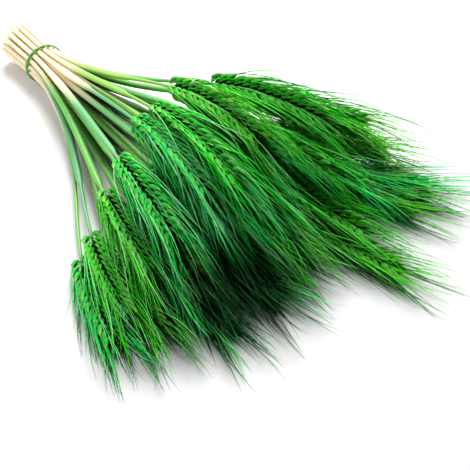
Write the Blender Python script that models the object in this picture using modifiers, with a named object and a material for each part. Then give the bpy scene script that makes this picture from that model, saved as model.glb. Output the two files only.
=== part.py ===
"""A tied bunch of awned triticale, dyed green and dried, lying on its side.

Thirty-four straw stalks are held by one elastic band. Each carries an ear: spikelets in two rows on
a wavy axis, every spikelet ending in a long stiff awn. The stalks leave the band side by side along
+X and flare out to a low mound of ears. The origin is the flat underside of the band, on the surface
that the bunch lies on. Sizes are in metres and +Z is up.
"""
import math

import bmesh
import bpy
import numpy as np
from mathutils import Matrix, Vector
from mathutils.bvhtree import BVHTree

# Driving sizes of one stalk
STEM_R = 0.00175
STEM_TIP_R = 0.0011
CORE_R = 0.0024
CORE_AT = (0.10, 0.75, 1.0)
EAR_LONG = 0.088
AWN_LONG = 0.056
AWN_LESS_AT_TIP = 0.30
SPIKELETS = 10
SPIKELET_LONG = 0.0176
SPIKELET_HALF_WIDE = 0.0042
KEEL_OUT = 0.0034
INNER_BACK = 0.0012
BELLY_AT = 0.42
BELLY_OUT = 0.0006
AWN_NECK_R = 0.0005
BUTT_BACK = 0.039

# The tie: stems stand in rings round one in the middle
CIRCLES = (1, 5, 11, 17)
PITCH = 0.0039
BAND_THICK = 0.0012
BAND_WIDE = 0.0022
BAND_SIDES = 28
BAND_CLEAR = 0.00036

# The mound of ears: how far out they start, how far they fan out in degrees, and how high they lie
SEED = 11
REACH = 0.197
REACH_LESS_ON_TOP = 0.058
FAN_LEFT = 24.2
FAN_LESS_ABOVE = 0.1
FAN_RIGHT = 28
# Ears that stand out of the sweep: side, level, and how much further out they start
OWN_REACH = ((0.48, 0.0, 0.026), (0.41, 1.0, -0.007), (1.0, 0.57, -0.020), (0.61, 0.67, 0.008),
             (0.95, 1.0, 0.011), (-0.99, 0.76, 0.010), (-0.97, 0.1, -0.006))
MOUND_HIGH = 0.0395
NOD = 0.0276
NOD_FROM = 0.19
NOD_BENDS = 1.1
HUMP_AT_RIGHT = 0.23
HUMP_LEFT_ROUND = 0.75
RISE_IN = 0.05
LATE_RISE = 0.61
LEAN_IN_LEFT_TOP = 1.35
LEAN_OUT_LEFT_TOP = -0.23
LEAN_IN_RIGHT = 0.1
LEAN_OUT_RIGHT = 0.97
EAR_ROOM = 0.0067
EAR_LIE = 0.0039
AWN_ROOM = 0.0026
STEM_LIE = 0.0020
BUTT_SPLAY = 0.10
STATION_STEP = 0.011
STATIONS = np.arange(0, 0.352, STATION_STEP)
SETTLE_STEPS = 400
PUSH = 0.22
SMOOTH = 0.30
TRIES = 40
CLEAR = 0.0003
TIP_OVER_SURFACE = 0.0008
FLOOR_BLOCK = (0.6, 0.5, 0.05)
STRAW_UP_TO = 0.03

TIE_R = PITCH*(len(CIRCLES)-1)+STEM_R
TIE_Z = TIE_R+BAND_CLEAR+BAND_THICK

STRAW = (0.78, 0.68, 0.42, 1)
GREEN = (0.03, 0.30, 0.07, 1)
BAND_GREEN = (0.10, 0.42, 0.20, 1)


def clear_scene():
    for old in list(bpy.data.objects):
        bpy.data.objects.remove(old, do_unlink=True)


def make_collection(name):
    group = bpy.data.collections.new(name)
    bpy.context.scene.collection.children.link(group)
    return group


def plain_material(name, colour, roughness):
    material = bpy.data.materials.new(name)
    material.use_nodes = True
    shader = material.node_tree.nodes["Principled BSDF"]
    shader.inputs["Base Color"].default_value = colour
    shader.inputs["Roughness"].default_value = roughness
    shader.inputs["Metallic"].default_value = 0.0
    return material


# Layout of the bunch

def ring_places():
    """(n, 2) sideways and upward places of the stems in the tie, from its middle."""
    places = []
    for circle, count in enumerate(CIRCLES):
        for k in range(count):
            turn = 2*math.pi*(k+0.37*circle)/count
            places.append((circle*PITCH*math.cos(turn), circle*PITCH*math.sin(turn)))
    return np.array(places)


def spread(ring, draw):
    """Where each ear would go by its stem's place in the tie, before the ears share out the room.

    side runs from -1 on the left of the bunch to 1 on the right, and level from 0 below to 1 on top.
    """
    n = len(ring)
    side, up = (ring/(PITCH*(len(CIRCLES)-1))).T
    level = np.clip((up/np.sqrt(1-np.clip(np.abs(side), 0, 0.96)**2)+1)/2, 0, 1)
    out = np.clip(np.abs(side), 0, 1)
    left = np.clip(-side, 0, None)
    right = np.clip(side, 0, None)
    hump = np.where(side > 0, HUMP_AT_RIGHT+(1-HUMP_AT_RIGHT)*(1-out**3)**(1/3),
                    0.10+0.90*(1-out**2)**HUMP_LEFT_ROUND)
    reach = (REACH-REACH_LESS_ON_TOP*level*(1-0.35*left)+0.022*left+(0.026-0.014*level)*right
             + draw.uniform(-0.008, 0.008, n))
    for own_side, own_level, further in OWN_REACH:
        reach += further*np.exp(-((side-own_side)**2+(level-own_level)**2)/0.12**2)
    ear = EAR_LONG*draw.uniform(0.92, 1.08, n)
    fan = np.where(side > 0, FAN_RIGHT*side*out**0.10, FAN_LEFT*side*out**0.5*(1-FAN_LESS_ABOVE*level))
    fan = np.radians(fan+draw.uniform(-1.5, 1.5, n))
    mid = reach+ear/2
    return dict(ring=ring, side=side, level=level, reach=reach*np.cos(fan), ear=ear*np.cos(fan),
                mid_x=mid*np.cos(fan), mid_y=mid*np.sin(fan),
                top_z=EAR_LIE+0.001+level*MOUND_HIGH*hump, nod=NOD*level*hump)


def first_lines(bunch):
    """(n, stations, 2) of y and z: a stalk leaves the tie along +X, flares out, rises and nods over."""
    t = STATIONS[None]/bunch["mid_x"][:, None]
    u = np.clip(t, 0, 1)
    left = np.clip(-bunch["side"], 0, None)
    right = np.clip(bunch["side"], 0, None)
    left_top = bunch["level"]*left*(1-0.75*left**2)
    lean_in = (0.16-0.14*left+LEAN_IN_LEFT_TOP*left_top-LEAN_IN_RIGHT*right)[:, None]
    lean_out = (0.75-0.22*left-LEAN_OUT_LEFT_TOP*left_top+LEAN_OUT_RIGHT*right)[:, None]
    flare = (lean_in*(u**3-2*u**2+u)+(3*u**2-2*u**3)+lean_out*(u**3-u**2)
             + lean_out*np.clip(t-1, 0, None))
    flare = flare**(1+0.20*left[:, None])
    y0 = bunch["ring"][:, :1]
    z0 = TIE_Z+bunch["ring"][:, 1:]
    y = y0+(bunch["mid_y"][:, None]-y0)*flare
    top_x = (bunch["reach"]+NOD_FROM*bunch["ear"])[:, None]
    w = np.clip(STATIONS[None]/top_x, 0, 1)
    w = w**(1+LATE_RISE*right[:, None])
    rise = RISE_IN*(w**3-2*w**2+w)+3*w**2-2*w**3
    past = np.clip((STATIONS[None]-top_x)/bunch["ear"][:, None], 0, None)
    fall = np.where(past < NOD_BENDS, past**2, 2*NOD_BENDS*past-NOD_BENDS**2)
    z = z0+(bunch["top_z"][:, None]-z0)*rise-bunch["nod"][:, None]*fall
    return np.stack([y, z], -1)


def half_sizes(bunch):
    """(n, stations): half the room that each stalk takes at each station."""
    x = STATIONS[None]
    start = bunch["reach"][:, None]
    end = start+bunch["ear"][:, None]
    stem = PITCH/2-0.00005-0.0004*np.clip(x/start, 0, 1)
    swell = np.clip((x-start+0.004)/0.014, 0, 1)*np.clip((end+0.016-x)/0.024, 0, 1)
    tail = np.where(x > end, AWN_ROOM, 0)
    return np.maximum(np.maximum(stem*(x <= end), tail), EAR_ROOM*swell)


def settle(bunch):
    """Push the stalks apart until each has its own room, above the surface and in a smooth sweep."""
    start = first_lines(bunch)
    room = half_sizes(bunch)
    need = (room[:, None]+room[None]).transpose(2, 0, 1)
    apart_from_itself = 9*np.eye(len(room))[None]
    lie = np.clip(room, STEM_LIE, EAR_LIE)
    shift = np.zeros_like(start)
    for step in range(SETTLE_STEPS):
        place = (start+shift).transpose(1, 0, 2)
        gap = place[:, :, None]-place[:, None]
        apart = np.sqrt((gap**2).sum(-1))+1e-9+apart_from_itself
        close = np.clip(need-apart, 0, None)
        push = (gap/apart[..., None]*close[..., None]).sum(2)*PUSH
        shift += push.transpose(1, 0, 2)
        shift[:, 1:-1] += SMOOTH*(shift[:, :-2]-2*shift[:, 1:-1]+shift[:, 2:])
        shift[:, -1] = 2*shift[:, -2]-shift[:, -3]
        shift[..., 1] = np.maximum(shift[..., 1], lie-start[..., 1])
        shift[:, 0] = 0
    return start+shift


def lay_out():
    """The whole bunch: where each stalk runs, how its ear is rolled and where its butt is cut."""
    draw = np.random.default_rng(SEED)
    bunch = spread(ring_places(), draw)
    bunch["lines"] = settle(bunch)
    n = len(bunch["ring"])
    bunch["roll"] = np.radians(draw.uniform(-1, 1, n)*(12+30*np.minimum(bunch["level"], 0.8)))
    bunch["butt"] = BUTT_BACK*draw.uniform(0.90, 1.10, n)
    return bunch


def point_at(bunch, i, x):
    """Centre line of stalk i at the distance x along the bunch: a cubic through its stations."""
    x = np.asarray(x, float)
    line = bunch["lines"][i]
    slope = np.gradient(line, STATION_STEP, axis=0)
    slope[0] *= 0.5
    k = np.clip((x/STATION_STEP).astype(int), 0, len(STATIONS)-2)
    t = (np.clip(x, 0, None)/STATION_STEP-k)[..., None]
    yz = ((2*t**3-3*t**2+1)*line[k]+(t**3-2*t**2+t)*STATION_STEP*slope[k]
          + (3*t**2-2*t**3)*line[k+1]+(t**3-t**2)*STATION_STEP*slope[k+1])
    back = np.clip(-x, 0, None)[..., None]/BUTT_BACK
    yz = yz+bunch["ring"][i]*BUTT_SPLAY*back
    return np.concatenate([x[..., None], yz], -1)


def ear_frame(bunch, i, x, roll):
    """Point, direction, the side the rows grow on, and the broad side of ear i at x."""
    here, ahead = point_at(bunch, i, np.array([x, x+0.002]))
    along = Vector(ahead-here).normalized()
    flat = along.cross(Vector((0, 0, 1))).normalized()
    over = flat.cross(along)
    rows = flat*math.cos(roll)+over*math.sin(roll)
    return Vector(here), along, rows, along.cross(rows)


# Pieces

def mesh_from_curve(curve_object, group):
    """Turn a filled curve into a closed mesh object, with its caps welded."""
    graph = bpy.context.evaluated_depsgraph_get()
    mesh = bpy.data.meshes.new_from_object(curve_object.evaluated_get(graph))
    form = bmesh.new()
    form.from_mesh(mesh)
    bmesh.ops.remove_doubles(form, verts=form.verts, dist=0.00001)
    bmesh.ops.recalc_face_normals(form, faces=form.faces)
    form.to_mesh(mesh)
    form.free()
    made = bpy.data.objects.new(curve_object.name+"_solid", mesh)
    made.matrix_world = curve_object.matrix_world
    group.objects.link(made)
    bpy.data.objects.remove(curve_object, do_unlink=True)
    return made


def stem_radius(x, start, end):
    """The straw thins to the foot of the ear, where its axis swells to the core that the husks stand on."""
    if x > start+0.001:
        return CORE_R if x < end-0.001 else STEM_TIP_R
    return STEM_R+(STEM_TIP_R-STEM_R)*min(max(x/start, 0), 1)


def make_stem(bunch, i, name, group):
    """The straw and the ear's axis: one tapering tube from the cut butt to the tip of the ear."""
    start = bunch["reach"][i]
    end = start+bunch["ear"][i]*0.97
    straw = np.linspace(0, start, 6)
    xs = np.concatenate([[-bunch["butt"][i]], straw, start+(end-start)*np.array(CORE_AT)])
    curve = bpy.data.curves.new(name, "CURVE")
    curve.dimensions = "3D"
    curve.bevel_depth = 1.0
    curve.bevel_resolution = 1
    curve.use_fill_caps = True
    line = curve.splines.new("POLY")
    line.points.add(len(xs)-1)
    for point, x, place in zip(line.points, xs, point_at(bunch, i, xs)):
        point.co = (*place, 1)
        point.radius = stem_radius(x, start, end)
    made = bpy.data.objects.new(name, curve)
    group.objects.link(made)
    bpy.context.view_layer.update()
    return mesh_from_curve(made, group)


def spikelet_form(base, along, out, broad, size, awn_tip, fat=0.0):
    """A keeled husk with its awn: a low ball of three sides, drawn out from its root to the awn's tip.

    The keel faces out, and the two other edges lie close to the ear's axis, at the husk's full width.
    """
    form = bmesh.new()
    bmesh.ops.create_uvsphere(form, u_segments=3, v_segments=3, radius=1)
    belly = base+along*(BELLY_AT*SPIKELET_LONG*size)+out*BELLY_OUT
    neck = base+along*(SPIKELET_LONG*size)
    for vert in form.verts:
        keel = vert.co.y > 0.1
        side = math.copysign(1, vert.co.x)
        if vert.co.z < -0.9:
            vert.co = base
        elif vert.co.z > 0.9:
            vert.co = awn_tip
        elif vert.co.z < 0 and keel:
            vert.co = belly+out*(KEEL_OUT*size+fat)
        elif vert.co.z < 0:
            vert.co = belly-out*(INNER_BACK*size+fat)+broad*side*(SPIKELET_HALF_WIDE*size+fat)
        elif keel:
            vert.co = neck+out*(AWN_NECK_R+fat)
        else:
            vert.co = neck-out*(AWN_NECK_R+fat)*0.5+broad*side*(AWN_NECK_R+fat)*0.87
    bmesh.ops.triangulate(form, faces=form.faces)
    bmesh.ops.recalc_face_normals(form, faces=form.faces)
    return form


def needle_form(start, end):
    """A thin three-sided needle, for feeling where an awn would go."""
    form = bmesh.new()
    bmesh.ops.create_cone(form, segments=3, radius1=AWN_NECK_R+CLEAR, radius2=CLEAR, depth=1, cap_ends=True)
    along = end-start
    turn = along.to_track_quat("Z", "Y").to_matrix().to_4x4()
    size = Matrix.Diagonal((1, 1, along.length, 1))
    bmesh.ops.transform(form, verts=form.verts, matrix=Matrix.Translation((start+end)/2) @ turn @ size)
    return form


def crosses(form, trees):
    tree = BVHTree.FromBMesh(form)
    return any(tree.overlap(other) for other in trees)


def place_spikelet(spot, draw, others, own):
    """Find a free way out for one spikelet and its awn; None where every try meets a neighbour."""
    base, along, out, broad, lean, size, awn = spot
    way = along*math.cos(lean)+out*math.sin(lean)
    for attempt in range(TRIES):
        late = attempt/TRIES
        shrink = 1.0 if late < 0.5 else 0.85 if late < 0.75 else 0.7
        spill = math.radians(3.2+7*late)
        rise = lean*0.42-(0.1 if late > 0.5 else 0)+draw.normal(0, spill*0.5)
        swing = draw.normal(0, spill)
        awn_way = (along+out*math.tan(rise)+broad*math.tan(swing)).normalized()
        long_awn = awn*draw.uniform(0.88, 1.08)*(1 if late < 0.4 else 0.75 if late < 0.8 else 0.4)
        neck = base+way*(SPIKELET_LONG*size*shrink)
        tip = neck+awn_way*long_awn
        tip.z = max(tip.z, TIP_OVER_SURFACE)
        if late < 0.6:
            needle = needle_form(neck+awn_way*0.002, tip)
            meets_own = crosses(needle, own)
            needle.free()
            if meets_own:
                continue
        trial = spikelet_form(base, way, out, broad, size*shrink, tip+awn_way*0.001, CLEAR)
        hit = crosses(trial, others)
        trial.free()
        if not hit:
            return spikelet_form(base, way, out, broad, size*shrink, tip)
    return None


def ear_spots(bunch, i, draw):
    """Root, ways, lean, size and awn length of each spikelet, up the ear in turn left and right."""
    start = bunch["reach"][i]
    ear = bunch["ear"][i]
    roll = bunch["roll"][i]
    spots = []
    for k in range(SPIKELETS):
        t = (k+0.35)/SPIKELETS
        here, along, rows, broad = ear_frame(bunch, i, start+0.90*ear*t, roll)
        out = rows*(1 if k % 2 else -1)
        lean = math.radians(22-5*t+draw.uniform(-1.5, 1.5))
        size = (0.80+0.9*t-0.85*t*t)*draw.uniform(0.95, 1.05)
        awn = AWN_LONG*(1-AWN_LESS_AT_TIP*t)*draw.uniform(0.9, 1.1)
        spots.append((here, along, out, broad, lean, size, awn))
    here, along, rows, broad = ear_frame(bunch, i, start+0.90*ear, roll)
    spots.append((here, along, rows, broad, 0.0, 0.80, AWN_LONG*(1-AWN_LESS_AT_TIP)))
    return spots


def keep_largest_body(mesh):
    """Drop what fusing leaves beside the solid: sealed hollows' skins and loose scraps."""
    form = bmesh.new()
    form.from_mesh(mesh)
    waiting = set(form.verts)
    bodies = []
    while waiting:
        body = [waiting.pop()]
        for vert in body:
            for edge in vert.link_edges:
                other = edge.other_vert(vert)
                if other in waiting:
                    waiting.remove(other)
                    body.append(other)
        bodies.append(body)
    bodies.sort(key=len)
    for body in bodies[:-1]:
        bmesh.ops.delete(form, geom=body, context="VERTS")
    form.to_mesh(mesh)
    form.free()


def join_forms(stem, forms, name, group, cutters):
    """Fuse the spikelets to their stem in one solid, and trim what would go below the surface."""
    florets = make_collection(name+"_florets")
    for k, form in enumerate(forms):
        mesh = bpy.data.meshes.new(name+"_floret_%02d" % k)
        form.to_mesh(mesh)
        florets.objects.link(bpy.data.objects.new(mesh.name, mesh))
    union = stem.modifiers.new("florets", "BOOLEAN")
    union.operation = "UNION"
    union.operand_type = "COLLECTION"
    union.collection = florets
    union.solver = "MANIFOLD"
    if min(vert.co.z for form in forms for vert in form.verts) < 0:
        trim = stem.modifiers.new("floor", "BOOLEAN")
        trim.operation = "DIFFERENCE"
        trim.object = cutters.objects["floor_cutter"]
        trim.solver = "MANIFOLD"
    bpy.context.view_layer.update()
    graph = bpy.context.evaluated_depsgraph_get()
    mesh = bpy.data.meshes.new_from_object(stem.evaluated_get(graph))
    mesh.name = name
    keep_largest_body(mesh)
    joined = bpy.data.objects.new(name, mesh)
    group.objects.link(joined)
    bpy.data.objects.remove(stem, do_unlink=True)
    for floret in list(florets.objects):
        bpy.data.objects.remove(floret, do_unlink=True)
    bpy.data.collections.remove(florets)
    return joined


def make_floor_cutter(group):
    """A block whose top is the surface, for the flat spots where low ears lie on it."""
    form = bmesh.new()
    bmesh.ops.create_cube(form, size=1)
    bmesh.ops.scale(form, verts=form.verts, vec=FLOOR_BLOCK)
    bmesh.ops.translate(form, verts=form.verts, vec=(FLOOR_BLOCK[0]/4, 0, -FLOOR_BLOCK[2]/2))
    mesh = bpy.data.meshes.new("floor_cutter")
    form.to_mesh(mesh)
    form.free()
    made = bpy.data.objects.new("floor_cutter", mesh)
    made.hide_render = True
    made.display_type = "WIRE"
    group.objects.link(made)


def make_band(group):
    """The elastic band: a flat section turned about the bunch's axis, one facet flat underneath."""
    outer = TIE_Z/math.cos(math.pi/BAND_SIDES)
    inner = outer-BAND_THICK
    half = BAND_WIDE/2
    mesh = bpy.data.meshes.new("elastic_band")
    form = bmesh.new()
    corners = [form.verts.new((r, 0, z)) for r, z in
               ((outer, half), (outer, -half), (inner, -half), (inner, half))]
    for k in range(4):
        form.edges.new((corners[k], corners[(k+1) % 4]))
    form.to_mesh(mesh)
    form.free()
    band = bpy.data.objects.new("elastic_band", mesh)
    group.objects.link(band)
    turn = band.modifiers.new("turn", "SCREW")
    turn.axis = "Z"
    turn.angle = 2*math.pi
    turn.steps = BAND_SIDES
    turn.render_steps = BAND_SIDES
    turn.use_merge_vertices = True
    turn.merge_threshold = 0.00001
    band.matrix_world = (Matrix.Translation((0, 0, TIE_Z)) @ Matrix.Rotation(math.pi/2, 4, "Y")
                         @ Matrix.Rotation(math.pi/BAND_SIDES, 4, "Z"))
    band.data.materials.append(plain_material("green_elastic", BAND_GREEN, 0.6))
    return band


def colour_stalk(stalk):
    """Dyed green, but bare straw near the tie, where the dye faded out."""
    stalk.data.materials.clear()
    stalk.data.materials.append(plain_material(stalk.name+"_dyed", GREEN, 0.7))
    stalk.data.materials.append(plain_material(stalk.name+"_straw", STRAW, 0.6))
    for face in stalk.data.polygons:
        face.material_index = 1 if face.center.x < STRAW_UP_TO else 0


def make_stalks(bunch, group, cutters):
    count = len(bunch["ring"])
    draw = np.random.default_rng(SEED+1)
    stems = [make_stem(bunch, i, "stalk_%02d" % (i+1), group) for i in range(count)]
    trees = []
    for stem in stems:
        form = bmesh.new()
        form.from_mesh(stem.data)
        trees.append([BVHTree.FromBMesh(form)])
        form.free()
    for i in sorted(range(count), key=lambda i: -bunch["top_z"][i]):
        others = [tree for k in range(count) if k != i for tree in trees[k]]
        forms = []
        own = []
        for spot in reversed(ear_spots(bunch, i, draw)):
            form = place_spikelet(spot, draw, others, own)
            if form is not None:
                forms.append(form)
                own.append(BVHTree.FromBMesh(form))
        trees[i] += own
        stalk = join_forms(stems[i], forms, "stalk_%02d" % (i+1), group, cutters)
        for form in forms:
            form.free()
        colour_stalk(stalk)


def main():
    clear_scene()
    group = make_collection("triticale_bunch")
    cutters = make_collection("cutters")
    make_floor_cutter(cutters)
    make_stalks(lay_out(), group, cutters)
    make_band(group)


main()
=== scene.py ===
"""The looks of a tied bunch of triticale that was dyed green and dried.

Thirty-four straw stalks lie in one elastic band. Every ear is built husk by husk: each spikelet has two
outer florets, two between them and two glumes, and each of these husks ends in an awn. The lengths are in
metres, the bunch runs along +X from its cut butts, and it lies on the plane z = 0.
"""
import math
from typing import NamedTuple

import bpy
import numpy as np
from bpy.props import FloatProperty, FloatVectorProperty, IntProperty, PointerProperty
from mathutils import Matrix, Vector


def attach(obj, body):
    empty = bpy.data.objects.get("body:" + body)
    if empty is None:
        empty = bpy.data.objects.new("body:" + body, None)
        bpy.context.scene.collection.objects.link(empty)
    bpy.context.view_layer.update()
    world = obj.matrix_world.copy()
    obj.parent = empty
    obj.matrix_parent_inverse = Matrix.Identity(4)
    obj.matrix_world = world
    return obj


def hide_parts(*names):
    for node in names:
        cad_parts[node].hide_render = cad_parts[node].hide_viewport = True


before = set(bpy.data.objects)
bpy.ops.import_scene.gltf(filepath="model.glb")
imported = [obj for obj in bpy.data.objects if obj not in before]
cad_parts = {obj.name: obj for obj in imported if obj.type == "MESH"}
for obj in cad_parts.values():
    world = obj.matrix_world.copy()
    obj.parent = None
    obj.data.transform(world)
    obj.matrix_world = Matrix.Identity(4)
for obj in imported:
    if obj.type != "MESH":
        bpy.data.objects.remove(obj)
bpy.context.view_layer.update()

bl_info = {
    "name": "Dried triticale bunch",
    "version": (1, 0, 0),
    "blender": (4, 5, 0),
    "location": "View3D > Sidebar > Triticale",
    "description": "Builds a tied bunch of dyed and dried triticale ears",
    "category": "Add Mesh",
}

BODY = "root"

# The tie: its circles of stems, their sizes and their cut ends. The solids share all of the layout
SEED = 11
CIRCLES = (1, 5, 11, 17)
CIRCLE_TURN = 0.37
PITCH = 0.0039
STEM_R = 0.00175
STEM_TIP_R = 0.0011
BAND_THICK = 0.0012
BAND_CLEAR = 0.00036
TIE_R = PITCH*(len(CIRCLES)-1)+STEM_R
TIE_Z = TIE_R+BAND_CLEAR+BAND_THICK
BUTT_BACK = 0.039
BUTT_VARIES = (0.90, 1.10)
BUTT_SPLAY = 0.10

# How far the ears reach along the bunch, and how wide they fan out in degrees, by their side and level.
# OWN_REACH has single ears: their side, their level and how much further they reach
EAR_LONG = 0.088
EAR_VARIES = (0.92, 1.08)
REACH = 0.197
REACH_LESS_ON_TOP = 0.058
TOP_LESS_AT_LEFT = 0.35
REACH_MORE_AT_LEFT = 0.022
REACH_MORE_AT_RIGHT = 0.026
RIGHT_LESS_ON_TOP = 0.014
REACH_VARIES = 0.008
OWN_REACH = ((0.48, 0.0, 0.026), (0.41, 1.0, -0.007), (1.0, 0.57, -0.020), (0.61, 0.67, 0.008),
             (0.95, 1.0, 0.011), (-0.99, 0.76, 0.010), (-0.97, 0.1, -0.006))
OWN_REACH_ROUND = 0.12
FAN_LEFT = 24.2
FAN_LEFT_POWER = 0.5
FAN_LESS_ABOVE = 0.1
FAN_RIGHT = 28
FAN_RIGHT_POWER = 0.10
FAN_VARIES = 1.5

# How high the ears lie and how they roll, and how the stalks rise, lean out and nod over
SIDE_MOST = 0.96
MOUND_HIGH = 0.0395
HUMP_AT_RIGHT = 0.23
HUMP_AT_LEFT = 0.10
HUMP_LEFT_ROUND = 0.75
EAR_CLEAR = 0.001
NOD = 0.0276
NOD_FROM = 0.19
NOD_BENDS = 1.1
RISE_IN = 0.05
LATE_RISE = 0.61
LATE_FLARE = 0.20
LEAN_IN = 0.16
LEAN_IN_LEFT = 0.14
LEAN_IN_LEFT_TOP = 1.35
LEAN_IN_RIGHT = 0.1
LEAN_OUT = 0.75
LEAN_OUT_LEFT = 0.22
LEAN_OUT_LEFT_TOP = -0.23
LEAN_OUT_RIGHT = 0.97
LEFT_TOP_FADES = 0.75
ROLL_BELOW = 12
ROLL_MORE_ON_TOP = 30
ROLL_MOST_LEVEL = 0.8

# The room that a stalk takes, and how stalks are pushed apart at the stations along the bunch
STATION_STEP = 0.011
STATIONS = np.arange(0, 0.352, STATION_STEP)
STEM_GAP = 0.00005
STEM_TAPERS = 0.0004
STEM_LIE = 0.0020
EAR_ROOM = 0.0067
EAR_ROOM_BEFORE = 0.004
EAR_ROOM_OPENS = 0.014
EAR_ROOM_PAST = 0.016
EAR_ROOM_CLOSES = 0.024
EAR_LIE = 0.0039
AWN_ROOM = 0.0026
OUT_OF_REACH = 9
SETTLE_STEPS = 400
PUSH = 0.22
SMOOTH = 0.30
SLOPE_AT_TIE = 0.5

# Faces of one straw, with its cut end and the ear's axis, of a floret, a glume, an awn and the band
STRAW_RINGS = 44
BUTT_RINGS = 4
AXIS_RINGS = 10
STRAW_SIDES = 10
FLORET_RINGS = 7
FLORET_SIDES = 6
GLUME_RINGS = 5
GLUME_SIDES = 5
AWN_RINGS = 7
AWN_SIDES = 3
BAND_STEPS = 112
BAND_SECTION = 12

# A straw: its cut end, its leaf sheath, and the ear's axis that it runs on into
HOLE_DEEP = 0.004
BUTT_EDGE = 0.0003
BUTT_ROUND = 0.0002
BUTT_LONG = 0.003
SHEATH_FROM = 0.020
SHEATH_GROWS = 0.025
SHEATH_STEP = 0.003
SHEATH_ENDS = (0.50, 0.95)
SHEATH_WIDER = 1.5
SHEATH_DEEPER = 0.5
AXIS_SHARE = 0.95
AXIS_R = 0.0009

# A husk: how its rings are spaced, where its belly is, and how round and deep it is
HUSK_SPACING = 0.9
HUSK_BELLY = 0.40
HUSK_FULL = 0.96
HUSK_FALL = 0.85
HUSK_OUTER = 0.86
HUSK_INNER = 0.55
HUSK_ROOT_R = 0.0001

# Spikelets along an ear: the first one's place, and their size from foot to tip
FIRST_SPIKELET = 0.4
FOOT_SIZE = 0.80
SIZE_RISE = 0.9
SIZE_FALL = 0.85
TANGENT_STEP = 0.002
AZIMUTH_VARIES = 5
HUSK_LEAN_VARIES = 3
HUSK_LONG_VARIES = (0.92, 1.08)
HUSK_WIDE_VARIES = (0.9, 1.1)

# Awns: they turn to the run of the ear some way ahead, differ in degrees, bow, droop and taper
AWN_AHEAD = 0.035
AWN_AHEAD_END = STATIONS[-1]-0.003
AWN_LEAN_VARIES = 6
AWN_LONG_VARIES = (0.85, 1.15)
AWN_LESS_AT_TIP = 0.28
AWN_SUNK = 0.0006
AWN_BOW = 0.0007
AWN_DROOP = 0.006
AWN_TAPER_AT = (0, 0.75, 1)
AWN_TAPER = (1, 0.5, 0.14)

# Height below which pieces are pressed flat on the surface
PRESS_FROM = 0.0012

# The band: how it dips between stems, how square its section is and how far it drifts along the bunch
BAND_DIP = 0.00008
BAND_SQUARE = 0.7
BAND_DRIFT = 0.0005

# The materials of a stalk, by their place in its list
STRAW_KIND = 0
HUSK_KIND = 1
AWN_KIND = 2

# Noise that makes streaks: where it is read, and how far apart one husk's noise is from the next one's
STREAK_OFFSET = (7.3, 3.1, 5.7)
STREAK_APART = 40.0

# Where the dye starts along the bunch, how far that varies by stalk and fibre, and how light fibres are
DYE_LINE = (0.060, 0.118)
DYE_LINE_VARIES = 0.055
DYE_LINE_RAGGED = 0.030
STALK_SHUFFLE = 7.31
LIGHT_FIBRES = 0.6
STALK_HUES = (0.510, 0.486)

# Painted shade where pieces crowd each other: reaches, the shares of open air between which the tone grows,
# and the share of bare and of dyed straw's linear colour that the painted shade leaves between other straws
STRAW_REACH = 0.030
STRAW_OPEN = (0.06, 0.62)
HUSK_REACH = 0.022
AWN_REACH = 0.040
EAR_OPEN = (0.06, 0.56)
PAINTED_SHADE_ON_BARE = (0.88, 0.74, 0.50)
PAINTED_SHADE_ON_DYED = (0.20, 0.24, 0.12)

# A painted shadow in the hollow under the front of the mound: its middle and half sizes, where it
# ends as shares of them, and what is left of the tone in it
PAINTED_SHADOW_MIDDLE = (0.286, -0.032, 0.012)
PAINTED_SHADOW_HALF = (0.055, 0.042, 0.032)
PAINTED_SHADOW_EDGE = (0.55, 1.20)
PAINTED_SHADOW_TONE = 0.02

# Husks dry towards their tip, each a little differently and along its veins
HUSK_DRY_VARIES = 0.16
HUSK_DRY_VEINS = 0.30
HUSK_DRY = 0.80

# Awns are pale by chance and more at their tip, and fewer are so from the middle to the right; the pale
# awns are partly painted highlights on single awns
PALE_AT_TIP = 0.25
PALE_CHANCE = (0.60, 1.15)
PALE_ACROSS = (-0.03, 0.06)
PALE_SHARE = (1.0, 0.2)

# Shade of the band's grooves and of the floor's tooth
GROOVE_SHADE = 0.72
TOOTH_SHADE = 0.985

# Camera: 40 degrees above the surface, with the tie at the upper left of a 470 pixel frame
FRAME_PIXELS = 470
FOCAL_PIXELS = 1400
SENSOR_MM = 36
ELEVATION = 40
AZIMUTH = 36
TIE_DEPTH = 1.023
TIE_PIXEL = (44, 63)
TIE_MIDDLE = (0, 0, 0.015)

# Soft light: name, place, aim, side and power of each softbox, and the strength of the white around
SOFTBOXES = (("softbox_behind", (-0.52, 0.58, 1.05), (0.2, 0, 0), 0.8, 36),
             ("softbox_left", (-0.35, -0.60, 0.60), (0.1, 0, 0), 0.6, 6))
WHITE_AROUND = 0.13


class Awn(NamedTuple):
    """A kind of awn: its radius and that of its husk's tip, and how far it strays from the ear's run.

    thick and tip are shares of the awn radius. lean is the mean lean outwards and swing the spread to the
    sides, both in degrees.
    """
    thick: float
    tip: float
    lean: float
    swing: float


MAIN_AWN = Awn(1, 0.9, 8, 7.5)
SIDE_AWN = Awn(0.7, 0.6, 18, 10)


class Husk(NamedTuple):
    """One husk of a spikelet: where it grows, how it leans, and its shares of the ear's settings.

    azimuth is in degrees round the axis, from the middle of its row. root is metres out from the axis,
    sideways and up. leans are degrees from the ear's run, at the husk's root and at its tip.
    """
    azimuth: float
    root: tuple
    leans: tuple
    long: float
    wide: float
    awn_long: float
    awn: Awn
    glume: bool


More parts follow.
